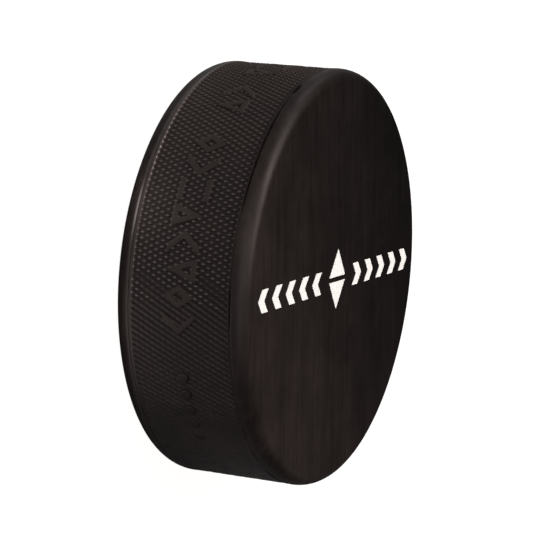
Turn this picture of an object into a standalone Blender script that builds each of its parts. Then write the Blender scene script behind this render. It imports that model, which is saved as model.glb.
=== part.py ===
"""An ice hockey puck, lying on its back face.

The puck is one moulding of solid rubber: flat faces, rounded rims, and a band round its side with smooth raised
marks and mould pips. Its front face carries a print in one colour, whose islands of ink are separate bodies.

Metres, +Z up. The origin is the centre of the back face, and the print reads level when seen from -Y.
"""

import math

import bmesh
import bpy

MM = 0.001

# The moulding, from the axis out and from the back face up.
DIAMETER = 76.2 * MM
THICKNESS = 25.4 * MM
RIM_RADIAL = 2.1 * MM
RIM_AXIAL = 2.8 * MM
FRONT_RIM_STEP = 0.05 * MM  # the front rim is this much smaller in radius than the lip beside it
LIP_HEIGHT = 0.3 * MM  # the parting line's raised lip
BORDER_DEPTH = 0.05 * MM  # the smooth borders lie this far inside the full radius
BORDER_HEIGHT = 0.3 * MM
BAND_DEPTH = 0.2 * MM  # the band's mean surface, inside the full radius
STEPS_ROUND = 96
RIM_STEPS = 5

# The raised marks on the band, which run in groups round the puck's side.
MARK_HEIGHT = 6.2 * MM
MARK_WIDTH = 4.4 * MM
MARK_STROKE = 1.15 * MM
MARK_PITCH_DEG = 7.1
MARK_GROUPS = ((75.5, 4), (110.0, 2), (131.5, 8))  # first angle in degrees, number of marks
MARK_CHEVRON_ARM = 1.4 * MARK_STROKE  # level width of a chevron mark's stroke
MARK_HALF_LENGTH = 1.0 * MM  # of the prism that a mark is cut from
BAND_MIDDLE_SHIFT = -0.2 * MM  # of the marks' middle line, from half the thickness

# The mould pips, a row of small round studs after the marks.
PIP_DIAMETER = 2.0 * MM
PIP_RISE = 0.1 * MM  # above the full radius
PIP_START_DEG = 196.5
PIP_PITCH_DEG = 5.3
PIP_COUNT = 5
PIP_SIDES = 16
PIP_HALF_LENGTH = 0.5 * MM

# The print on the front face.
INK_GAP = 0.1 * MM
INK_THICKNESS = 0.1 * MM
PRINT_TILT_DEG = -5.6
CHEVRON_HEIGHT = 4.1 * MM
CHEVRON_ARM = 2.4 * MM
CHEVRON_POINT = 1.6 * MM
CHEVRON_PITCH = 5.6 * MM
CHEVRONS_A_SIDE = 5
CHEVRON_START = 7.0 * MM  # the innermost chevron's inner edge, from the axis
LOZENGE_WIDTH = 7.0 * MM
LOZENGE_HEIGHT = 11.0 * MM
LOZENGE_SLOT = 0.9 * MM

RADIUS = DIAMETER / 2
BAND_RADIUS = RADIUS - BAND_DEPTH
FRONT_RIM_RADIUS = RADIUS - FRONT_RIM_STEP
BAND_MIDDLE = THICKNESS / 2 + BAND_MIDDLE_SHIFT
MERGE = 0.01 * MM  # points closer than this are one


def clear_scene():
    for obj in list(bpy.data.objects):
        bpy.data.objects.remove(obj)


def collection(name):
    made = bpy.data.collections.new(name)
    bpy.context.scene.collection.children.link(made)
    return made


def material(name, colour, roughness):
    made = bpy.data.materials.new(name)
    made.use_nodes = True
    shader = made.node_tree.nodes["Principled BSDF"]
    shader.inputs["Base Color"].default_value = (*colour, 1.0)
    shader.inputs["Roughness"].default_value = roughness
    shader.inputs["Metallic"].default_value = 0.0
    return made


def add_object(name, data, target):
    obj = bpy.data.objects.new(name, data)
    target.objects.link(obj)
    return obj


def mark_as_tool(obj):
    obj.hide_render = True
    obj.display_type = "WIRE"


# Turned shapes


def rim_arc(radius, face_height, direction):
    """Quarter ellipse from the side to a face. direction is +1 for the front face and -1 for the back."""
    points = []
    for step in range(RIM_STEPS + 1):
        angle = math.radians(90 * step / RIM_STEPS)
        r = radius - RIM_RADIAL * (1 - math.cos(angle))
        z = face_height - direction * RIM_AXIAL * (1 - math.sin(angle))
        points.append((r, z))
    return points


def puck_profile():
    """Half the puck's section, (radius, height) from the front face's centre down to the back face's."""
    border = RADIUS - BORDER_DEPTH
    lip_top = THICKNESS - RIM_AXIAL
    lip_bottom = lip_top - LIP_HEIGHT
    front_border = lip_bottom - BORDER_HEIGHT
    back_border = RIM_AXIAL + BORDER_HEIGHT
    side = [
        (RADIUS, lip_top),
        (RADIUS, lip_bottom),
        (border, lip_bottom - BORDER_DEPTH),
        (border, front_border),
        (BAND_RADIUS, front_border - BAND_DEPTH),
        (BAND_RADIUS, back_border + BAND_DEPTH),
        (border, back_border),
    ]
    front = [(0.0, THICKNESS), *reversed(rim_arc(FRONT_RIM_RADIUS, THICKNESS, 1))]
    back = [*rim_arc(border, 0.0, -1), (0.0, 0.0)]
    return front + side + back


def turned(name, profile, target):
    """A solid of revolution about Z, from a profile in the XZ plane that runs down its outer side."""
    mesh = bpy.data.meshes.new(name)
    mesh.from_pydata([(r, 0.0, z) for r, z in profile], [(i, i + 1) for i in range(len(profile) - 1)], [])
    obj = add_object(name, mesh, target)
    screw = obj.modifiers.new("Turn", "SCREW")
    screw.axis = "Z"
    screw.steps = STEPS_ROUND
    screw.render_steps = STEPS_ROUND
    screw.use_merge_vertices = True
    screw.merge_threshold = MERGE
    screw.use_smooth_shade = True
    return obj


# Flat outlines


def outline_curve(name, loops, half_thickness):
    """A 2D curve from closed loops of corners; a loop inside another is a hole."""
    curve = bpy.data.curves.new(name, "CURVE")
    curve.dimensions = "2D"
    curve.fill_mode = "BOTH"
    curve.extrude = half_thickness
    for loop in loops:
        spline = curve.splines.new("POLY")
        spline.points.add(len(loop) - 1)
        for point, (x, y) in zip(spline.points, loop):
            point.co = (x, y, 0.0, 1.0)
        spline.use_cyclic_u = True
    return curve


def chevron(height, arm, point, direction):
    """A chevron whose inner edge starts at x = 0 and which points along direction times X."""
    corners = (
        (0.0, height / 2),
        (arm, height / 2),
        (arm + point, 0.0),
        (arm, -height / 2),
        (0.0, -height / 2),
        (point, 0.0),
    )
    return [(direction * x, y) for x, y in corners]


def ring(corners, centre, inradius, stroke):
    """The outline and, inside it, the same outline shrunk about its incentre to leave an even stroke."""
    cx, cy = centre
    scale = 1 - stroke / inradius
    hole = [(cx + (x - cx) * scale, cy + (y - cy) * scale) for x, y in corners]
    return [corners, hole]


def lozenge_mark():
    a, b = MARK_WIDTH / 2, MARK_HEIGHT / 2
    corners = [(a, 0.0), (0.0, b), (-a, 0.0), (0.0, -b)]
    return ring(corners, (0.0, 0.0), a * b / math.hypot(a, b), MARK_STROKE)


def triangle_mark(upright):
    """An upright or hanging triangle, drawn as an even ring."""
    a, height, sign = MARK_WIDTH / 2, MARK_HEIGHT, 1 if upright else -1
    inradius = a * height / (a + math.hypot(a, height))
    corners = [(a, -sign * height / 2), (0.0, sign * height / 2), (-a, -sign * height / 2)]
    return ring(corners, (0.0, sign * (inradius - height / 2)), inradius, MARK_STROKE)


def bars_mark():
    """Two level bars, one above the other."""
    half, offset = MARK_STROKE / 2, MARK_HEIGHT / 2 - MARK_STROKE / 2
    a = MARK_WIDTH / 2
    return [[(a, y - half), (a, y + half), (-a, y + half), (-a, y - half)] for y in (offset, -offset)]


def chevron_mark(direction):
    point = MARK_WIDTH - MARK_CHEVRON_ARM
    corners = chevron(MARK_HEIGHT, MARK_WIDTH - point, point, direction)
    return [[(x - direction * MARK_WIDTH / 2, y) for x, y in corners]]


def circle(diameter, sides):
    angles = (2 * math.pi * k / sides for k in range(sides))
    return [(diameter / 2 * math.cos(t), diameter / 2 * math.sin(t)) for t in angles]


MARKS = (
    lozenge_mark(),
    chevron_mark(1),
    bars_mark(),
    triangle_mark(True),
    chevron_mark(-1),
    triangle_mark(False),
)


# Shapes that stand on the band


def stand_on_band(obj, angle_deg, radius):
    """Turns a flat shape so that its X runs round the puck, its Y up and its Z out, and sets it at radius."""
    angle = math.radians(angle_deg)
    obj.rotation_euler = (math.pi / 2, 0.0, angle + math.pi / 2)
    obj.location = (radius * math.cos(angle), radius * math.sin(angle), BAND_MIDDLE)


def solid_from_curve(curve, name, place, target):
    """Makes a curve into a mesh object at the place that a function gives it, and joins its loose caps."""
    draft = add_object(name + "_draft", curve, target)
    place(draft)
    bpy.context.view_layer.update()
    evaluated = draft.evaluated_get(bpy.context.evaluated_depsgraph_get())
    mesh = bpy.data.meshes.new_from_object(evaluated)
    welded = bmesh.new()
    welded.from_mesh(mesh)
    bmesh.ops.remove_doubles(welded, verts=welded.verts, dist=MERGE)
    welded.to_mesh(mesh)
    welded.free()
    obj = add_object(name, mesh, target)
    obj.matrix_world = draft.matrix_world
    bpy.data.objects.remove(draft)
    return obj


def limit_to_radius(obj, radius, target):
    """Rounds off the outer ends of shapes on the band, so that they follow the puck's side."""
    profile = [(0.0, THICKNESS), (radius, THICKNESS), (radius, 0.0), (0.0, 0.0)]
    limit = turned(obj.name + "_limit", profile, target)
    mark_as_tool(limit)
    cut = obj.modifiers.new("Follow the side", "BOOLEAN")
    cut.operation = "INTERSECT"
    cut.object = limit


def joined(name, pieces, target):
    """One mesh object from several that don't touch."""
    gathered = bmesh.new()
    for piece in pieces:
        copy = piece.data.copy()
        copy.transform(piece.matrix_world)
        gathered.from_mesh(copy)
        bpy.data.objects.remove(piece)
    mesh = bpy.data.meshes.new(name)
    gathered.to_mesh(mesh)
    gathered.free()
    return add_object(name, mesh, target)


def band_marks(target):
    """The raised marks, each a prism from inside the band to the full radius."""
    pieces = []
    for first_angle, count in MARK_GROUPS:
        for k in range(count):
            angle = first_angle + k * MARK_PITCH_DEG
            loops = MARKS[len(pieces) % len(MARKS)]
            name = f"mark_tool_{len(pieces)}"
            curve = outline_curve(name, loops, MARK_HALF_LENGTH)

            def place(obj, angle=angle):
                stand_on_band(obj, angle, RADIUS)

            pieces.append(solid_from_curve(curve, name, place, target))
    marks = joined("band_marks_tool", pieces, target)
    mark_as_tool(marks)
    limit_to_radius(marks, RADIUS, target)
    return marks


def mould_pips(target):
    """The mould pips, short round studs that stand a little above the full radius."""
    pieces = []
    for k in range(PIP_COUNT):
        name = f"pip_tool_{k}"
        curve = outline_curve(name, [circle(PIP_DIAMETER, PIP_SIDES)], PIP_HALF_LENGTH)
        angle = PIP_START_DEG + k * PIP_PITCH_DEG

        def place(obj, angle=angle):
            stand_on_band(obj, angle, RADIUS + PIP_RISE - PIP_HALF_LENGTH)

        pieces.append(solid_from_curve(curve, name, place, target))
    pips = joined("mould_pips_tool", pieces, target)
    mark_as_tool(pips)
    return pips


def rubber_body(parts, tools):
    body = turned("rubber_body", puck_profile(), parts)
    for shapes in (band_marks(tools), mould_pips(tools)):
        union = body.modifiers.new("Add " + shapes.name, "BOOLEAN")
        union.operation = "UNION"
        union.object = shapes
    body.data.materials.append(material("vulcanised rubber", (0.022, 0.019, 0.018), 0.5))
    return body


# The print


def ink_island(name, loop, offset_x, frame, ink, target):
    """One island of ink, lying on the front face in the print's own frame."""
    curve = outline_curve(name, [loop], INK_THICKNESS / 2)
    curve.materials.append(ink)
    obj = add_object(name, curve, target)
    obj.parent = frame
    obj.location = (offset_x, 0.0, 0.0)


def face_print(target):
    frame = add_object("print_frame", None, target)
    frame.location = (0.0, 0.0, THICKNESS + INK_GAP + INK_THICKNESS / 2)
    frame.rotation_euler = (0.0, 0.0, math.radians(PRINT_TILT_DEG))
    ink = material("white ink", (0.9, 0.9, 0.88), 0.45)
    for side, direction in (("left", -1), ("right", 1)):
        loop = chevron(CHEVRON_HEIGHT, CHEVRON_ARM, CHEVRON_POINT, direction)
        for k in range(CHEVRONS_A_SIDE):
            offset = direction * (CHEVRON_START + k * CHEVRON_PITCH)
            ink_island(f"print_chevron_{side}_{k + 1}", loop, offset, frame, ink, target)
    for name, sign in (("upper", 1), ("lower", -1)):
        half_slot = sign * LOZENGE_SLOT / 2
        loop = [(-LOZENGE_WIDTH / 2, half_slot), (LOZENGE_WIDTH / 2, half_slot), (0.0, sign * LOZENGE_HEIGHT / 2)]
        ink_island(f"print_lozenge_{name}", loop, 0.0, frame, ink, target)


def main():
    clear_scene()
    parts = collection("hockey_puck")
    tools = collection("tools")
    rubber_body(parts, tools)
    face_print(parts)


main()
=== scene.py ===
"""The looks of an ice hockey puck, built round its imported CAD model.

The rubber is one closed surface: a fine knurl on a diamond lattice, smooth borders, a torn moulding lip,
rounded rims and flat faces. The raised marks and the mould pips are small solids that grow out of the
band, and the print is a set of thin films of ink with slightly uneven edges. The puck lies on a white
light table, and the camera is rolled, so that the puck seems to stand on its edge.
"""

import math

import bmesh
import bpy
import numpy as np
from mathutils import Matrix, Vector, noise


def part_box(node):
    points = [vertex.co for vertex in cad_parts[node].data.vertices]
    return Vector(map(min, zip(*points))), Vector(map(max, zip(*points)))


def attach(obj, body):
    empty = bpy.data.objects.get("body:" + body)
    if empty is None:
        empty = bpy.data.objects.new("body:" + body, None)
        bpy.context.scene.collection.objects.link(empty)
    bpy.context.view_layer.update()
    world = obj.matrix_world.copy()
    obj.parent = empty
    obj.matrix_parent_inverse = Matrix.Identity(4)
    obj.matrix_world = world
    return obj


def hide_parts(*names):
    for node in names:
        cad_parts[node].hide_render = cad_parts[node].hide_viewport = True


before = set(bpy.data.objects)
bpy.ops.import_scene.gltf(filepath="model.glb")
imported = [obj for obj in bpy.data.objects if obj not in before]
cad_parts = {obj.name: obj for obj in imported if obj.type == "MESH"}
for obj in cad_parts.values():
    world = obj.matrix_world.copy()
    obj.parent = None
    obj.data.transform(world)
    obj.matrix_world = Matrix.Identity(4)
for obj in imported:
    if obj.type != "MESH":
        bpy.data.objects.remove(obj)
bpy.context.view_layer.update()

MM = 0.001
ROOT = "root"

WHITE = (1.0, 1.0, 1.0)

# The puck, from the CAD body.
BODY_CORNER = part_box("rubber_body")[1]
RADIUS = BODY_CORNER.x
THICKNESS = BODY_CORNER.z
RIM_RADIAL = 2.1 * MM  # how far a rim's rounding reaches in across the face
RIM_AXIAL = 2.8 * MM  # and how far down the side
RIM_STEPS = 9
RIM_RADIUS = RADIUS - 0.05 * MM
FACE_EDGE = 0.3 * MM  # a narrow flat ring inside each rim, which keeps the shading of the face even
FACE_RINGS = (0.97, 0.92, 0.8)  # the rings further in, as shares of the flat face's radius

# The knurl: a lattice of diamonds between two families of slanted grooves.
KNURL_LOW = 3.4 * MM
KNURL_HIGH = KNURL_LOW + 18.4 * MM
DIAMONDS_ROUND = 216
DIAMONDS_HIGH = 9
FLANK_SHARE = 0.32  # share of a diamond's width that each of its sloping flanks takes
FRACTIONS = np.array([0.0, FLANK_SHARE, 0.5, 1 - FLANK_SHARE])  # where the fine grid cuts a diamond
FINE = len(FRACTIONS)
TOP_CELLS = (1, 2)  # the fine grid's cells between the two flanks
RING = DIAMONDS_ROUND * FINE  # points in every ring round the puck
LEVELS = 2 * DIAMONDS_HIGH * FINE  # fine levels from the knurl's lower edge to its upper one
GROOVE_RADIUS = RADIUS - 0.50 * MM
BUMP_HEIGHT = 0.45 * MM
BUMP_ROUNDING = 11.0  # how fast a bump falls off away from its middle
BUMP_SPREAD = 0.08  # the bumps' heights fall short by about this share
BUMP_SEED = 11
CROWN_SPAN = (RADIUS - 0.38 * MM, RADIUS - 0.10 * MM)  # from matt rubber with painted shade, down in the grooves, to polished rubber

# How deep the two families of grooves are: they fade over a worn stretch. Angle in degrees, share.
RISING_DEPTH = ((196, 1.0), (216, 0.16), (250, 0.16), (275, 1.0))
FALLING_DEPTH = ((162, 1.0), (178, 0.45), (196, 0.45), (213, 0.12), (250, 0.12), (275, 1.0))

# The body's materials, and where the crowns run into ridges and the worn stretch lies, in degrees.
FLANK, PLAIN, CROWN, RIDGE = range(4)
RIDGES_START, WORN_START, WORN_END = 172, 206, 262
START_JITTER = 4.0  # degrees by which these angles differ between rows of diamonds
START_JITTER_TURN = 7.3  # radians from one row to the next, so that neighbours differ

# The parting lines beside the two rims, and the smooth borders between them and the knurl.
BORDER_RADIUS = RIM_RADIUS - 0.03 * MM
BORDER_START = 0.06 * MM  # how far above the knurl the upper border starts
BACK_LINE = 2.9 * MM
BACK_LINE_DEPTH = 0.12 * MM
BACK_LINE_EDGES = (0.06 * MM, 0.04 * MM)  # how far above and below it its edges are
FRONT_LINE = THICKNESS - 3.2 * MM
LINE_DEPTH = 0.13 * MM
LINE_WIDTH = 0.16 * MM
LINE_EDGE = 0.03 * MM  # how far below the front line its lower edge is
LINE_LIP = ((0.02 * MM, 0.03 * MM), (0.0, 0.09 * MM))  # its rounded upper edge: how far in, how far above
FRONT_RIM_START = 10  # degrees of the front rim's arc that the line leaves out

# The front line is ragged: share, waves in a turn and seed of two noises, and how much they change it.
RAGGED = ((0.6, 30, 1.0), (0.4, 120, 2.0))
RAGGED_DEPTH = 0.04 * MM
RAGGED_START = 0.05 * MM
RAGGED_WIDTH = 0.03 * MM

# Where the flash was torn off, the line is this much deeper, lower and wider.
TEAR_DEPTH = 0.33 * MM
TEAR_DROP = 0.10 * MM
TEAR_WIDTH = 0.40 * MM

# Where the flash was torn off most beside the front rim: middle and reach in degrees, and how badly.
TEARS = (
    (107, 2.4, 1.6),
    (133, 16, 1.0),
    (175, 5, 0.6),
    (243, 9, 0.8),
    (292, 12, 1.0),
    (335, 5, 0.6),
    (22, 9, 0.9),
    (60, 4, 0.5),
    (212, 1.8, 0.2),
    (222, 2.4, 0.25),
)

# How much of the front line is left: it is worn away over a stretch. Angle in degrees, share.
LINE_WEAR = ((188, 1.0), (202, 0.25), (228, 0.25), (240, 1.0))

# How many rings are sharp edges, from the knurl to the parting line, in front and at the back.
FRONT_SHARP, BACK_SHARP = 5, 4

# The raised marks on the band.
MARK_HEIGHT = 6.2 * MM
MARK_WIDTH = 4.4 * MM
MARK_STROKE = 1.15 * MM
MARK_CHEVRON_ARM = 1.4 * MARK_STROKE
MARK_PITCH_DEG = 7.1
MARK_GROUPS = ((75.5, 4), (110.0, 2), (131.5, 8))  # first angle in degrees, number of marks
MARK_ROOT = 0.9 * MM  # how far a mark reaches below its top, into the band
MARK_EDGE = 0.32 * MM  # the rounding of its edges
MARK_TOP = RADIUS - 0.10 * MM
BAND_MIDDLE = THICKNESS / 2 - 0.2 * MM  # the height of the marks' and pips' middles
BEND_STEP = 0.5 * MM  # a mark is cut at this spacing, so that it can follow the band

# The mould pips, each in a shallow round recess. Both get fainter along the row.
PIP_RADIUS = 1.0 * MM
PIP_DOME = ((0.0, 0.0), (0.7, -0.005), (0.88, -0.03), (0.97, -0.08), (1.0, -0.16))  # share of radius, mm
PIP_ROOT = ((1.0, -0.7), (0.0, -0.7))
PIP_STEPS = 40
PIP_RECESS = 1.2 * MM
PIP_RECESS_SHIFT = (0.1 * MM, 0.15 * MM)  # the recess isn't quite centred: back round the puck, and up
PIP_RECESS_LEVEL = 0.35  # the height of the knurl in the first recess, as a share of the bumps'
PIP_RECESS_FADE = 0.11
PIP_TOP = RADIUS + 0.10 * MM
PIP_FALL = 0.03 * MM  # each pip of the row is this much lower than the one before
PIP_START_DEG = 196.5
PIP_PITCH_DEG = 5.3
PIP_COUNT = 5

# The rubber of the band: name, dark and light colour, least and most roughness, gloss, grain.
RUBBERS = (
    ("rubber_knurl", (0.0078, 0.0062, 0.0062), (0.0164, 0.0112, 0.0097), (0.42, 0.52), 0.36, 0.5),
    ("rubber_ridge", (0.0105, 0.0082, 0.0082), (0.021, 0.0146, 0.0129), (0.38, 0.48), 0.4, 0.5),
    ("rubber_crown", (0.0088, 0.0074, 0.0078), (0.0204, 0.0138, 0.0118), (0.24, 0.34), 0.95, 0.5),
    ("rubber_mark", (0.0115, 0.008, 0.0072), (0.0155, 0.011, 0.01), (0.52, 0.64), 0.27, 0.3),
)
RUBBER_TINT = (1.0, 0.82, 0.78, 1.0)  # of its highlights
GROOVE_PAINTED_SHADE = 0.45  # painted shade: how much darker the colour is down in the grooves, as a share of its colour
GROOVE_ROUGHNESS = 0.8

# The rubber of the rims and faces, which has fine and broad streaks.
FACE_COLOURS = ((0.0145, 0.0103, 0.0092), (0.0265, 0.0189, 0.0168))
FACE_TINT = (1.0, 0.90, 0.87, 1.0)
FACE_ROUGHNESS = (0.4, 0.52)
FINE_STREAKS = (0.62, 0.6, 0.6)
BROAD_STREAKS = (0.7, 0.7, 0.7)
BACK_RIM = (3 * MM, 10 * MM)  # from the second of these heights down to the first it gets smoother
BACK_RIM_ROUGHNESS = 0.35  # the roughness there, as a share of the front's

# Painted light and shade on the rims and faces: paler towards -X, darker towards +X: which way it
# darkens, over what span, and how far.
FACE_PAINTED_LIGHT_WAY = (0.96, 0.28, 0.0)
FACE_PAINTED_LIGHT_SPAN = (-36 * MM, 38 * MM)
FACE_PAINTED_SHADE_DARKEST = (0.2, 0.21, 0.24)

NOISE_MIDDLE = (0.3, 0.7)  # where most of a noise lies, which runs from 0 to 1

SHARP_ANGLE = math.radians(50)  # the marks' and pips' edges are sharp from here
JOIN = 0.002 * MM  # points of a mark or a pip closer than this are one
TINY = 0.001 * MM  # the same for points of the CAD, and for points near the plane of a cut
FACING_UP = 0.9  # a face of the CAD faces up if its normal's Z is more than this

# The print.
INK_COLOURS = ((0.78, 0.76, 0.72), (0.93, 0.92, 0.89))
INK_ROUGHNESS = (0.42, 0.55)
INK_TOP = THICKNESS + 0.04 * MM
INK_BOTTOM = THICKNESS - 0.03 * MM
INK_SPACING = 0.12 * MM  # between the points of an island's edge
INK_WANDER = 0.03 * MM  # how far the edge wanders
INK_WANDER_SIZE = 0.5 * MM

# The camera, and the lights round it.
AIM = Vector((-0.37, 0.92, 11.40)) * MM
CAMERA_AZIMUTH = -105.09
CAMERA_ELEVATION = 24.62
CAMERA_ROLL = 96.42
CAMERA_DISTANCE = 453.9 * MM
LENS = 166.8
SENSOR = 36.0
LIGHT_DISTANCE = 0.9  # metres from the puck
SOFTBOXES = (  # name, direction, size in metres, watts, colour
    ("overhead_softbox", (0.03, 0.5, 0.84), (0.5, 0.85), 10.3, (1.0, 0.95, 0.92)),
    ("side_softbox", (-0.78, 0.2, 0.62), (0.9, 0.8), 2.7, (0.93, 0.97, 1.0)),
    ("low_softbox", (-0.8, 0.55, 0.2), (0.5, 0.35), 1.0, (1.0, 0.93, 0.9)),
    ("cool_card", (-0.95, -0.1, 0.35), (0.8, 0.45), 1.1, (0.84, 0.92, 1.0)),
    ("back_card", (0.5, 0.82, 0.2), (0.6, 0.25), 1.0, (1.0, 0.98, 0.97)),
    ("far_card", (0.74, -0.6, 0.3), (0.4, 0.4), 0.07, (1.0, 0.97, 0.95)),
)
ROOM_COLOUR = (1.0, 0.95, 0.92, 1.0)
ROOM_GLOW = 0.03

# The light table: its half width in metres, how far it lies below the puck, and how bright it looks.
TABLE_REACH = 3.0
TABLE_DROP = 0.05 * MM
TABLE_COLOURS = ((0.13, 0.13, 0.13), (0.15, 0.15, 0.15))
TABLE_TINT = (1.0, 0.985, 0.97, 1.0)
TABLE_GLOW = 0.98

# The light that it casts goes from one brightness to another along X and comes in along Y. There is none
# right beside the puck, and far away it falls off to a share.
CAST_ALONG_X = (-75 * MM, 0 * MM)
CAST = (0.4, 0.15)
CAST_ALONG_Y = (-45 * MM, 5 * MM)
CAST_START = (38.5 * MM, 40.5 * MM)
CAST_END = (70 * MM, 110 * MM)
CAST_FAR = 0.3

# Brighter patches of it: X, Y, reach, brightness, and the least and most distance from the puck's axis,
# where a patch fades in and out. All but the brightness are in mm.
PATCH_FADE = 1
PATCHES = (
    (-30, 30, 60, 1.4, 40.3, 45.5),
    (-37, 20.3, 8, 13.0, 40.6, 43.0),
    (-46, -6, 24, 0.9, 40.5, 200),
    (66, 78, 28, 0.9, 38, 200),
)


# Meshes


def in_scene(name, data):
    """A new object in the scene."""
    obj = bpy.data.objects.new(name, data)
    bpy.context.scene.collection.objects.link(obj)
    return obj


def new_object(name, vertices, faces):
    mesh = bpy.data.meshes.new(name)
    mesh.from_pydata(vertices, [], faces)
    mesh.update()
    return in_scene(name, mesh)


def object_from_bmesh(name, shape):
    mesh = bpy.data.meshes.new(name)
    shape.to_mesh(mesh)
    shape.free()
    return in_scene(name, mesh)


def angles_of(points):
    """The angle of each of a ring's points."""
    return np.arctan2(points[:, 1], points[:, 0])


def degrees_from(angles, middle):
    """How many degrees each angle is past a middle one, from -180 to 180."""
    return (np.degrees(angles) - middle + 180) % 360 - 180


def by_angle(angles, table):
    """A share at each angle, from a table of angles in degrees and shares."""
    return np.interp(np.degrees(angles) % 360, *zip(*table))


def round_noise(angles, waves, seed):
    """Smooth noise from -1 to 1 round a circle, with about that many waves in a turn."""
    reach = waves / math.pi
    points = ((reach * math.cos(t), reach * math.sin(t), seed) for t in angles)
    return np.array([noise.noise(Vector(p)) for p in points])


def cut(steps, angles, depths):
    """What one family of grooves takes from the bumps: most at a groove, and least midway between two."""
    part = steps % FINE
    rounding = BUMP_ROUNDING * (FRACTIONS[part] - 0.5) ** 2
    return by_angle(angles, depths) * np.where(part == 0, 1.0, rounding)


def level_round_pips(bump, angles, z):
    """The bumps' heights, levelled round each mould pip. The recesses get shallower along the row."""
    back, up = PIP_RECESS_SHIFT
    for k in range(PIP_COUNT):
        along = np.radians(degrees_from(angles, PIP_START_DEG + k * PIP_PITCH_DEG)) * RADIUS + back
        inside = np.hypot(along, z - BAND_MIDDLE - up) < PIP_RECESS
        bump = np.where(inside, PIP_RECESS_LEVEL + k * PIP_RECESS_FADE, bump)
    return bump


def knurl_points():
    """The knurl's points, level by level from its lower edge, each raised by its bump."""
    level, k = np.meshgrid(np.arange(LEVELS + 1), np.arange(RING), indexing="ij")
    first = k - level // 2
    second = first + level
    a = first // FINE + FRACTIONS[first % FINE]
    b = second // FINE + FRACTIONS[second % FINE]
    angle = 2 * math.pi * (a + b) / 2 / DIAMONDS_ROUND
    z = KNURL_LOW + (b - a) / 2 * (KNURL_HIGH - KNURL_LOW) / DIAMONDS_HIGH
    rising = cut(first, angle, RISING_DEPTH)
    falling = cut(second, angle, FALLING_DEPTH)
    in_groove = (first % FINE == 0) | (second % FINE == 0)
    bump = 1 - np.where(in_groove, np.maximum(rising, falling), rising + falling)
    draws = np.random.default_rng(BUMP_SEED).normal(0.0, BUMP_SPREAD, (DIAMONDS_ROUND, LEVELS + 2))
    spread = 1 - np.abs(draws)
    bump *= spread[(first // FINE) % DIAMONDS_ROUND, second // FINE - first // FINE]
    bump = level_round_pips(bump, angle, z)
    radius = GROOVE_RADIUS + bump * BUMP_HEIGHT
    radius[0] = BORDER_RADIUS
    return np.stack([radius * np.cos(angle), radius * np.sin(angle), z], axis=-1).reshape(-1, 3)


def knurl_index(first, level):
    return level * RING + (first + level // 2) % RING


def finish_of(first, second):
    """The material of a cell of the fine grid: beside the worn stretch the crowns run into ridges."""
    along, across = first % FINE in TOP_CELLS, second % FINE in TOP_CELLS
    jitter = START_JITTER * math.sin(START_JITTER_TURN * (first // FINE))
    degrees = (first + second) / 2 / RING * 360 % 360 + jitter
    if RIDGES_START < degrees < WORN_START:
        return RIDGE if along else FLANK
    if WORN_START <= degrees < WORN_END:
        return RIDGE
    return CROWN if along and across else FLANK


def knurl_faces():
    """The triangles between the knurl's points, and the material of each."""
    faces, finishes = [], []
    ends = {0, FINE - 1}
    for level in range(LEVELS + 1):
        for first in range(RING):
            second = first + level
            corner = knurl_index(first, level)
            finish = finish_of(first, second)
            finishes.append(finish)
            if level == LEVELS:
                faces.append((corner, knurl_index(first + 1, level - 1), knurl_index(first + 1, level)))
                continue
            if level == 0:
                faces.append((corner, knurl_index(first + 1, 0), knurl_index(first, 1)))
                continue
            finishes.append(finish)
            right = knurl_index(first + 1, level - 1)
            far = knurl_index(first + 1, level)
            left = knurl_index(first, level + 1)
            if {first % FINE, second % FINE} == ends:
                faces += [(corner, right, left), (right, far, left)]
            else:
                faces += [(corner, right, far), (corner, far, left)]
    return faces, finishes


def ring_points(angles, radius, z):
    radius = np.broadcast_to(radius, angles.shape)
    z = np.broadcast_to(z, angles.shape)
    return np.stack([radius * np.cos(angles), radius * np.sin(angles), z], axis=-1)


def rim_arc(face_height, sign, start):
    """The rings of a rim, a quarter ellipse from start degrees on: sign +1 in front, -1 at the back."""
    rings = []
    for step in range(RIM_STEPS + 1):
        angle = math.radians(start + (90 - start) * step / RIM_STEPS)
        radius = RIM_RADIUS - RIM_RADIAL * (1 - math.cos(angle))
        z = face_height - sign * RIM_AXIAL * (1 - math.sin(angle))
        rings.append((radius, z))
    return rings


def tears(angles):
    """How badly the moulding flash was torn off at each angle."""
    depth = np.zeros(angles.shape)
    for middle, reach, strength in TEARS:
        depth = np.maximum(depth, strength * np.exp(-((degrees_from(angles, middle) / reach) ** 4)))
    return depth


def front_rings(angles):
    """Radius and height of each ring from the knurl to the front face, across the torn parting line."""
    ragged = sum(share * round_noise(angles, waves, seed) for share, waves, seed in RAGGED)
    torn = tears(angles)
    left = by_angle(angles, LINE_WEAR)
    gap = RIM_RADIUS - (LINE_DEPTH + RAGGED_DEPTH * ragged) * left - TEAR_DEPTH * torn
    start = FRONT_LINE + RAGGED_START * ragged - TEAR_DROP * torn
    end = start + LINE_WIDTH + RAGGED_WIDTH * ragged + TEAR_WIDTH * torn
    rings = [
        (BORDER_RADIUS, KNURL_HIGH + BORDER_START),
        (BORDER_RADIUS, start - LINE_EDGE),
        (gap, start),
    ]
    lip = [(RIM_RADIUS - inward, end + above) for inward, above in LINE_LIP]
    return rings + lip + rim_arc(THICKNESS, 1, FRONT_RIM_START)


def back_rings():
    """The same from the knurl to the back face, across a fine parting line."""
    above, below = BACK_LINE_EDGES
    rings = [
        (BORDER_RADIUS, BACK_LINE + above),
        (RIM_RADIUS - BACK_LINE_DEPTH, BACK_LINE),
        (RIM_RADIUS, BACK_LINE - below),
    ]
    return rings + rim_arc(0.0, -1, 0)


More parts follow.
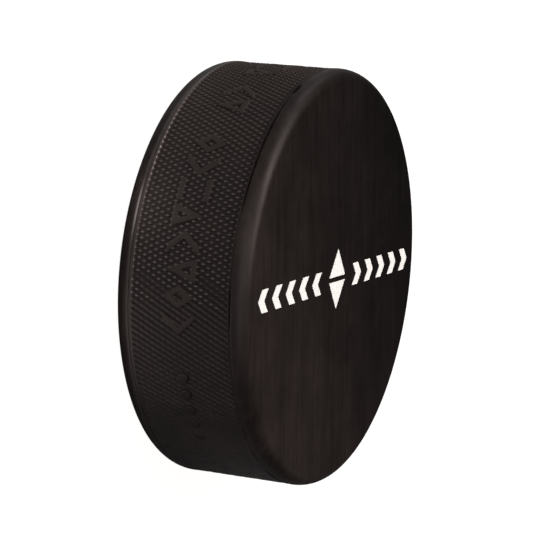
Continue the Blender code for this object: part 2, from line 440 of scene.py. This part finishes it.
def halving_faces(outer, inner, count, flip):
    """Faces from a ring of count points to one of half as many."""
    faces = []
    half = count // 2
    for k in range(half):
        a, b, c = outer + 2 * k, outer + 2 * k + 1, outer + (2 * k + 2) % count
        d, e = inner + k, inner + (k + 1) % half
        faces += [(a, b, d), (b, c, e), (b, e, d)]
    return [tuple(reversed(f)) for f in faces] if flip else faces


def strip_faces(lower, upper, flip):
    """Quads from one ring to the next."""
    faces = []
    for k in range(RING):
        n = (k + 1) % RING
        quad = (lower + k, lower + n, upper + n, upper + k)
        faces.append(tuple(reversed(quad)) if flip else quad)
    return faces


def close_side(points, faces, edge, rings, angles, face_z, flip):
    """Adds the rings from the knurl to a face, and closes it. Returns each ring's first point."""
    starts = [edge]
    face_radius = rings[-1][0]
    for radius, z in [*rings, (face_radius - FACE_EDGE, face_z)]:
        starts.append(sum(len(p) for p in points))
        points.append(ring_points(angles, radius, z))
        faces += strip_faces(starts[-2], starts[-1], flip)
    outer, count = starts[-1], RING
    for share in FACE_RINGS:
        inner = sum(len(p) for p in points)
        points.append(ring_points(angles[:: 2 * RING // count], face_radius * share, face_z))
        faces += halving_faces(outer, inner, count, flip)
        outer, count = inner, count // 2
    disc = tuple(range(outer, outer + count))
    faces.append(tuple(reversed(disc)) if flip else disc)
    return starts


def rubber_body(materials):
    """The whole moulding but for its marks and pips, as one closed mesh."""
    knurl = knurl_points()
    faces, finishes = knurl_faces()
    points, knurl_count = [knurl], len(faces)
    upper, lower = angles_of(knurl[-RING:]), angles_of(knurl[:RING])
    top = close_side(points, faces, LEVELS * RING, front_rings(upper), upper, THICKNESS, False)
    bottom = close_side(points, faces, 0, back_rings(), lower, 0.0, True)
    body = new_object("puck_rubber", np.concatenate(points).tolist(), faces)
    body.data.shade_smooth()
    sharpen(body.data, top[:FRONT_SHARP] + bottom[:BACK_SHARP])
    for made in materials:
        body.data.materials.append(made)
    slots = np.full(len(faces), PLAIN, np.int32)
    slots[:knurl_count] = finishes
    body.data.polygons.foreach_set("material_index", slots)
    return body


def sharpen(mesh, starts):
    """Marks as sharp the edges along the bottoms of the knurl's grooves, and those along some rings."""
    edges = np.zeros(len(mesh.edges) * 2, np.int32)
    mesh.edges.foreach_get("vertices", edges)
    edges = edges.reshape(-1, 2)
    level, k = np.divmod(edges, RING)
    first = (k - level // 2) % RING
    second = (first + level) % RING
    sharp = (first[:, 0] == first[:, 1]) & (first[:, 0] % FINE == 0)
    sharp |= (second[:, 0] == second[:, 1]) & (second[:, 0] % FINE == 0)
    sharp &= (level <= LEVELS).all(axis=1)
    for start in starts:
        sharp |= ((edges >= start) & (edges < start + RING)).all(axis=1)
    mesh.edges.foreach_set("use_edge_sharp", sharp)


# The marks


def ring_outline(corners, centre, inradius, stroke):
    """An outline and, inside it, the same one shrunk about its incentre to leave an even stroke."""
    cx, cy = centre
    scale = 1 - stroke / inradius
    hole = [(cx + (x - cx) * scale, cy + (y - cy) * scale) for x, y in corners]
    return [corners, hole]


def lozenge_mark():
    a, b = MARK_WIDTH / 2, MARK_HEIGHT / 2
    corners = [(a, 0.0), (0.0, b), (-a, 0.0), (0.0, -b)]
    return ring_outline(corners, (0.0, 0.0), a * b / math.hypot(a, b), MARK_STROKE)


def triangle_mark(sign):
    """A triangle that stands on its base for sign +1 and on its point for -1."""
    a, height = MARK_WIDTH / 2, MARK_HEIGHT
    inradius = a * height / (a + math.hypot(a, height))
    corners = [(a, -sign * height / 2), (0.0, sign * height / 2), (-a, -sign * height / 2)]
    return ring_outline(corners, (0.0, sign * (inradius - height / 2)), inradius, MARK_STROKE)


def bars_mark():
    half, offset = MARK_STROKE / 2, MARK_HEIGHT / 2 - MARK_STROKE / 2
    a = MARK_WIDTH / 2
    return [[(a, y - half), (a, y + half), (-a, y + half), (-a, y - half)] for y in (offset, -offset)]


def chevron_mark(sign):
    """A chevron that points along X for sign +1 and the other way for -1."""
    half = MARK_HEIGHT / 2
    outer = [(0, half), (MARK_CHEVRON_ARM, half), (MARK_WIDTH, 0), (MARK_CHEVRON_ARM, -half), (0, -half)]
    corners = [*outer, (MARK_WIDTH - MARK_CHEVRON_ARM, 0)]
    return [[(sign * (x - MARK_WIDTH / 2), y) for x, y in corners]]


MARKS = (
    lozenge_mark(),
    chevron_mark(1),
    bars_mark(),
    triangle_mark(1),
    chevron_mark(-1),
    triangle_mark(-1),
)


def prism(loops, depth, edge):
    """A solid from closed loops, that deep and centred on z = 0, with rounded edges."""
    curve = bpy.data.curves.new("prism", "CURVE")
    curve.dimensions = "2D"
    curve.fill_mode = "BOTH"
    curve.extrude = depth / 2 - edge
    curve.bevel_depth = edge
    curve.bevel_resolution = 2
    curve.offset = -edge
    for loop in loops:
        spline = curve.splines.new("POLY")
        spline.points.add(len(loop) - 1)
        for point, (x, y) in zip(spline.points, loop):
            point.co = (x, y, 0.0, 1.0)
        spline.use_cyclic_u = True
    draft = in_scene("prism", curve)
    bpy.context.view_layer.update()
    mesh = bpy.data.meshes.new_from_object(draft.evaluated_get(bpy.context.evaluated_depsgraph_get()))
    shape = bmesh.new()
    shape.from_mesh(mesh)
    bmesh.ops.remove_doubles(shape, verts=shape.verts, dist=JOIN)
    bpy.data.objects.remove(draft)
    bpy.data.meshes.remove(mesh)
    bpy.data.curves.remove(curve)
    return shape


def wrap_round(shape, angle, top):
    """Bends a flat solid round the band: its X runs round the puck, its Y up and its Z out."""
    reach = max(abs(v.co.x) for v in shape.verts)
    steps = int(reach / BEND_STEP) + 1
    for k in range(-steps, steps + 1):
        bmesh.ops.bisect_plane(
            shape,
            geom=[*shape.verts, *shape.edges, *shape.faces],
            dist=TINY,
            plane_co=(k * BEND_STEP, 0, 0),
            plane_no=(1, 0, 0),
        )
    highest = max(v.co.z for v in shape.verts)
    for v in shape.verts:
        turn = angle + v.co.x / RADIUS
        radius = top + v.co.z - highest
        v.co = (radius * math.cos(turn), radius * math.sin(turn), BAND_MIDDLE + v.co.y)


def gather(name, shapes):
    """One object from several solids."""
    whole = bmesh.new()
    for shape in shapes:
        part = bpy.data.meshes.new("part")
        shape.to_mesh(part)
        shape.free()
        whole.from_mesh(part)
        bpy.data.meshes.remove(part)
    return object_from_bmesh(name, whole)


def band_marks(made):
    """The raised marks in their groups, a few different ones in turn."""
    shapes = []
    for first_angle, count in MARK_GROUPS:
        for k in range(count):
            shape = prism(MARKS[len(shapes) % len(MARKS)], MARK_ROOT, MARK_EDGE)
            wrap_round(shape, math.radians(first_angle + k * MARK_PITCH_DEG), MARK_TOP)
            shapes.append(shape)
    marks = gather("puck_side_marks", shapes)
    marks.data.shade_smooth()
    marks.data.set_sharp_from_angle(angle=SHARP_ANGLE)
    marks.data.materials.append(made)
    return marks


def mould_pips(made):
    """Low domed studs, each a turned profile set on the band."""
    shapes = []
    for k in range(PIP_COUNT):
        shape = bmesh.new()
        vertices = [shape.verts.new((x * PIP_RADIUS, 0.0, z * MM)) for x, z in PIP_DOME + PIP_ROOT]
        edges = [shape.edges.new(pair) for pair in zip(vertices, vertices[1:])]
        bmesh.ops.spin(
            shape,
            geom=[*vertices, *edges],
            cent=(0, 0, 0),
            axis=(0, 0, 1),
            angle=2 * math.pi,
            steps=PIP_STEPS,
            use_merge=True,
        )
        bmesh.ops.remove_doubles(shape, verts=shape.verts, dist=JOIN)
        bmesh.ops.recalc_face_normals(shape, faces=shape.faces)
        wrap_round(shape, math.radians(PIP_START_DEG + k * PIP_PITCH_DEG), PIP_TOP - k * PIP_FALL)
        shapes.append(shape)
    pips = gather("puck_mould_pips", shapes)
    pips.data.shade_smooth()
    pips.data.set_sharp_from_angle(angle=SHARP_ANGLE)
    pips.data.materials.append(made)
    return pips


# The print


def top_outline(node):
    """The corners of a CAD island's top face, in order."""
    shape = bmesh.new()
    shape.from_mesh(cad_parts[node].data)
    bmesh.ops.remove_doubles(shape, verts=shape.verts, dist=TINY)
    top = [f for f in shape.faces if f.normal.z > FACING_UP]
    border = [e for f in top for e in f.edges if sum(g in top for g in e.link_faces) == 1]
    start = border[0].verts[0]
    loop, vertex, used = [], start, set()
    while True:
        loop.append(Vector((vertex.co.x, vertex.co.y)))
        edge = next((e for e in border if vertex in e.verts and e.index not in used), None)
        if edge is None:
            break
        used.add(edge.index)
        vertex = edge.other_vert(vertex)
        if vertex == start:
            break
    shape.free()
    area = sum(p.x * q.y - q.x * p.y for p, q in zip(loop, loop[1:] + loop[:1]))
    return loop if area > 0 else loop[::-1]


def soft_outline(corners, seed):
    """An outline with evenly spaced points, softened corners and an edge that wanders a little."""
    points = []
    for here, after in zip(corners, corners[1:] + corners[:1]):
        steps = max(2, round((after - here).length / INK_SPACING))
        points += [here.lerp(after, k / steps) for k in range(steps)]
    points = [(points[k - 1] + 2 * p + points[(k + 1) % len(points)]) / 4 for k, p in enumerate(points)]
    moved = []
    for p in points:
        at = Vector((p.x, p.y, seed)) / INK_WANDER_SIZE
        wander = Vector((noise.noise(at), noise.noise(at + Vector((7, 3, 1)))))
        moved.append(p + wander * INK_WANDER)
    return moved


def ink_film(node, made, seed):
    """The thin film of ink that stands for one CAD island."""
    outline = soft_outline(top_outline(node), seed)
    shape = bmesh.new()
    low = [shape.verts.new((p.x, p.y, INK_BOTTOM)) for p in outline]
    high = [shape.verts.new((p.x, p.y, INK_TOP)) for p in outline]
    count = len(outline)
    for k in range(count):
        n = (k + 1) % count
        shape.faces.new((low[k], low[n], high[n], high[k]))
    shape.faces.new(high)
    shape.faces.new(low[::-1])
    film = object_from_bmesh(node.replace("print", "ink"), shape)
    film.data.materials.append(made)
    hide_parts(node)
    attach(film, ROOT)
    return film


# Materials


class Nodes:
    """A small helper for building a material's node tree."""

    def __init__(self, name):
        self.material = bpy.data.materials.new(name)
        self.material.use_nodes = True
        self.tree = self.material.node_tree
        self.shader = self.tree.nodes["Principled BSDF"]
        self.place = self.add("ShaderNodeTexCoord").outputs["Object"]

    def add(self, kind, **settings):
        node = self.tree.nodes.new(kind)
        for key, value in settings.items():
            setattr(node, key, value)
        return node

    def link(self, source, target):
        self.tree.links.new(source, target)

    def noise(self, scale, detail=3.0, roughness=0.5, stretch=(1, 1, 1)):
        """Noise with about scale waves in a metre."""
        mapping = self.add("ShaderNodeMapping")
        mapping.inputs["Scale"].default_value = stretch
        self.link(self.place, mapping.inputs["Vector"])
        texture = self.add("ShaderNodeTexNoise")
        texture.inputs["Scale"].default_value = scale
        texture.inputs["Detail"].default_value = detail
        texture.inputs["Roughness"].default_value = roughness
        self.link(mapping.outputs["Vector"], texture.inputs["Vector"])
        return texture.outputs["Fac"]

    def ramp(self, source, stops):
        """A colour ramp through (position, colour) stops."""
        node = self.add("ShaderNodeValToRGB")
        elements = node.color_ramp.elements
        while len(elements) < len(stops):
            elements.new(0.5)
        for element, (position, colour) in zip(elements, stops):
            element.position = position
            element.color = (*colour, 1.0)
        self.link(source, node.inputs["Fac"])
        return node.outputs["Color"]

    def mottle(self, scale, dark, light):
        """A noise that wanders between two colours."""
        return self.ramp(self.noise(scale, 4.0, 0.6), [(0.32, dark), (0.68, light)])

    def tint(self, first, second):
        """One colour times another."""
        node = self.add("ShaderNodeMix", data_type="RGBA", blend_type="MULTIPLY")
        node.inputs["Factor"].default_value = 1.0
        self.link(first, node.inputs["A"])
        self.link(second, node.inputs["B"])
        return node.outputs["Result"]

    def span(self, source, low, high):
        """Maps the middle of a noise onto low to high."""
        return self.map_range("LINEAR", source, *NOISE_MIDDLE, low, high)

    def distance(self, source, place):
        node = self.add("ShaderNodeVectorMath", operation="DISTANCE")
        self.link(source, node.inputs[0])
        node.inputs[1].default_value = place
        return node.outputs["Value"]

    def combine(self, operation, first, second):
        node = self.add("ShaderNodeMath", operation=operation)
        self.link(first, node.inputs[0])
        self.link(second, node.inputs[1])
        return node.outputs["Value"]

    def ease(self, source, start, end, low, high):
        """Goes smoothly from low to high as a value goes from start to end."""
        return self.map_range("SMOOTHSTEP", source, start, end, low, high)

    def map_range(self, kind, source, start, end, low, high):
        node = self.add("ShaderNodeMapRange", interpolation_type=kind)
        for key, value in (("From Min", start), ("From Max", end), ("To Min", low), ("To Max", high)):
            node.inputs[key].default_value = value
        self.link(source, node.inputs["Value"])
        return node.outputs["Result"]

    def bump(self, source, distance, strength):
        node = self.add("ShaderNodeBump")
        node.inputs["Distance"].default_value = distance
        node.inputs["Strength"].default_value = strength
        self.link(source, node.inputs["Height"])
        self.link(node.outputs["Normal"], self.shader.inputs["Normal"])


def rubber(name, dark, light, roughness, gloss, grain):
    """Black rubber, mottled between two colours: matt in the grooves, with shade painted there as darker
    colour, glossy on the crowns.
    """
    made = Nodes(name)
    flat = made.add("ShaderNodeVectorMath", operation="MULTIPLY")
    made.link(made.place, flat.inputs[0])
    flat.inputs[1].default_value = (1.0, 1.0, 0.0)
    from_axis = made.distance(flat.outputs["Vector"], (0.0, 0.0, 0.0))
    crown_polish_and_painted_shade = made.ease(from_axis, *CROWN_SPAN, 0.0, 1.0)
    mottle = made.mottle(90.0, dark, light)
    # Painted shade: the colour darkens down in the grooves, towards the puck's axis.
    depth = made.ramp(crown_polish_and_painted_shade, [(0.0, (GROOVE_PAINTED_SHADE,) * 3), (1.0, WHITE)])
    made.link(made.tint(mottle, depth), made.shader.inputs["Base Color"])
    polish = made.add("ShaderNodeMix", data_type="FLOAT")
    made.link(crown_polish_and_painted_shade, polish.inputs["Factor"])
    polish.inputs["A"].default_value = GROOVE_ROUGHNESS
    made.link(made.span(made.noise(260.0, 5.0, 0.6), *roughness), polish.inputs["B"])
    made.link(polish.outputs["Result"], made.shader.inputs["Roughness"])
    made.shader.inputs["Specular IOR Level"].default_value = gloss
    made.shader.inputs["Specular Tint"].default_value = RUBBER_TINT
    made.bump(made.noise(5200.0, 3.0, 0.6), 0.02 * MM, grain)
    return made.material


def face_rubber():
    """The rubber of the rims and faces, with streaks along Y, and painted light and shade: paler towards
    -X, darker towards +X.
    """
    made = Nodes("rubber_face")
    mottle = made.mottle(70.0, *FACE_COLOURS)
    fine_noise = made.noise(900.0, 4.0, 0.65, (1.0, 0.05, 1.0))
    broad_noise = made.noise(110.0, 2.0, 0.5, (1.0, 0.15, 1.0))
    fine = made.ramp(fine_noise, [(0.35, FINE_STREAKS), (0.65, WHITE)])
    broad = made.ramp(broad_noise, [(0.35, BROAD_STREAKS), (0.62, WHITE)])
    streaks = made.tint(fine, broad)
    parts = made.add("ShaderNodeSeparateXYZ")
    made.link(made.place, parts.inputs[0])
    # Painted light and shade: the colour is paler towards -X and darker towards +X.
    along = made.add("ShaderNodeVectorMath", operation="DOT_PRODUCT")
    made.link(made.place, along.inputs[0])
    along.inputs[1].default_value = FACE_PAINTED_LIGHT_WAY
    painted_light = made.ease(along.outputs["Value"], *FACE_PAINTED_LIGHT_SPAN, 1.0, 0.0)
    painted_light_tint = made.ramp(painted_light, [(0.0, FACE_PAINTED_SHADE_DARKEST), (1.0, WHITE)])
    made.link(made.tint(made.tint(mottle, streaks), painted_light_tint), made.shader.inputs["Base Color"])
    share = made.ease(parts.outputs["Z"], *BACK_RIM, BACK_RIM_ROUGHNESS, 1.0)
    rough = made.combine("MULTIPLY", made.span(made.noise(300.0, 4.0, 0.6), *FACE_ROUGHNESS), share)
    made.link(rough, made.shader.inputs["Roughness"])
    made.shader.inputs["Specular IOR Level"].default_value = 0.18
    made.shader.inputs["Specular Tint"].default_value = FACE_TINT
    made.bump(made.noise(3800.0, 4.0, 0.6), 0.01 * MM, 0.35)
    return made.material


def white_ink():
    made = Nodes("white_ink")
    dark, light = INK_COLOURS
    colour = made.ramp(made.noise(1500.0, 4.0, 0.7), [(0.3, dark), (0.6, light)])
    made.link(colour, made.shader.inputs["Base Color"])
    made.link(made.span(made.noise(900.0), *INK_ROUGHNESS), made.shader.inputs["Roughness"])
    made.bump(made.noise(4000.0, 3.0, 0.6), 0.01 * MM, 0.3)
    return made.material


def floor_paper():
    """The light table: the camera sees it evenly white, and the light that it casts is graded."""
    made = Nodes("floor_paper")
    dark, light = TABLE_COLOURS
    colour = made.ramp(made.noise(14.0, 3.0), [(0.3, dark), (0.7, light)])
    made.link(colour, made.shader.inputs["Base Color"])
    made.shader.inputs["Roughness"].default_value = 0.7
    made.shader.inputs["Specular IOR Level"].default_value = 0.0
    made.shader.inputs["Emission Color"].default_value = TABLE_TINT
    parts = made.add("ShaderNodeSeparateXYZ")
    made.link(made.place, parts.inputs[0])
    from_puck = made.distance(made.place, (0.0, 0.0, 0.0))
    far = made.ease(from_puck, *CAST_END, 1.0, CAST_FAR)
    cast = made.combine("MULTIPLY", far, made.ease(parts.outputs["X"], *CAST_ALONG_X, *CAST))
    cast = made.combine("MULTIPLY", cast, made.ease(parts.outputs["Y"], *CAST_ALONG_Y, 0.0, 1.0))
    for x, y, reach, strength, start, end in PATCHES:
        from_middle = made.distance(made.place, Vector((x, y, 0)) * MM)
        patch = made.ease(from_middle, 0.0, reach * MM, strength, 0.0)
        fade_in = made.ease(from_puck, start * MM, (start + PATCH_FADE) * MM, 0.0, 1.0)
        fade_out = made.ease(from_puck, (end - PATCH_FADE) * MM, end * MM, 1.0, 0.0)
        patch = made.combine("MULTIPLY", made.combine("MULTIPLY", patch, fade_in), fade_out)
        cast = made.combine("ADD", cast, patch)
    cast = made.combine("MULTIPLY", cast, made.ease(from_puck, *CAST_START, 0.0, 1.0))
    seen = made.add("ShaderNodeMix", data_type="FLOAT")
    made.link(made.add("ShaderNodeLightPath").outputs["Is Camera Ray"], seen.inputs["Factor"])
    made.link(cast, seen.inputs["A"])
    seen.inputs["B"].default_value = TABLE_GLOW
    made.link(seen.outputs["Result"], made.shader.inputs["Emission Strength"])
    return made.material


# The stage


def floor(made):
    reach, z = TABLE_REACH, -TABLE_DROP
    corners = [(-reach, -reach, z), (reach, -reach, z), (reach, reach, z), (-reach, reach, z)]
    plane = new_object("stage_floor", corners, [(0, 1, 2, 3)])
    plane.data.materials.append(made)


def direction(azimuth, elevation):
    """The unit vector from the puck towards a place at that azimuth and elevation."""
    a, e = math.radians(azimuth), math.radians(elevation)
    return Vector((math.sin(a) * math.cos(e), -math.cos(a) * math.cos(e), math.sin(e)))


def soft_light(name, towards, size, watts, colour):
    data = bpy.data.lights.new(name, "AREA")
    data.shape = "RECTANGLE"
    data.size, data.size_y = size
    data.energy = watts
    data.color = colour
    light = in_scene(name, data)
    light.location = towards * LIGHT_DISTANCE
    light.rotation_mode = "QUATERNION"
    light.rotation_quaternion = (-towards).to_track_quat("-Z", "Y")
    light.visible_camera = False


def lights():
    for name, towards, size, watts, colour in SOFTBOXES:
        soft_light(name, Vector(towards).normalized(), size, watts, colour)
    world = bpy.data.worlds.new("studio")
    world.use_nodes = True
    background = world.node_tree.nodes["Background"]
    background.inputs["Color"].default_value = ROOM_COLOUR
    background.inputs["Strength"].default_value = ROOM_GLOW
    bpy.context.scene.world = world


def camera():
    data = bpy.data.cameras.new("camera")
    data.lens = LENS
    data.sensor_width = SENSOR
    data.clip_start = 0.01
    made = in_scene("camera", data)
    back = direction(CAMERA_AZIMUTH, CAMERA_ELEVATION)
    made.location = AIM + back * CAMERA_DISTANCE
    made.rotation_mode = "QUATERNION"
    roll = Matrix.Rotation(math.radians(CAMERA_ROLL), 3, "Z").to_quaternion()
    made.rotation_quaternion = (-back).to_track_quat("-Z", "Y") @ roll
    bpy.context.scene.camera = made


def view_settings():
    """A plain transfer, so that a fully lit floor is white."""
    settings = bpy.context.scene.view_settings
    settings.view_transform = "Standard"
    settings.look = "None"


def build():
    knurl, ridges, crowns, moulded = (rubber(*row) for row in RUBBERS)
    body = rubber_body([knurl, face_rubber(), crowns, ridges])
    for piece in (body, band_marks(moulded), mould_pips(moulded)):
        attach(piece, ROOT)
    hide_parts("rubber_body")
    ink = white_ink()
    islands = sorted(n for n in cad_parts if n.startswith("print_"))
    for number, node in enumerate(islands):
        ink_film(node, ink, number)
    floor(floor_paper())
    lights()
    camera()
    view_settings()


build()
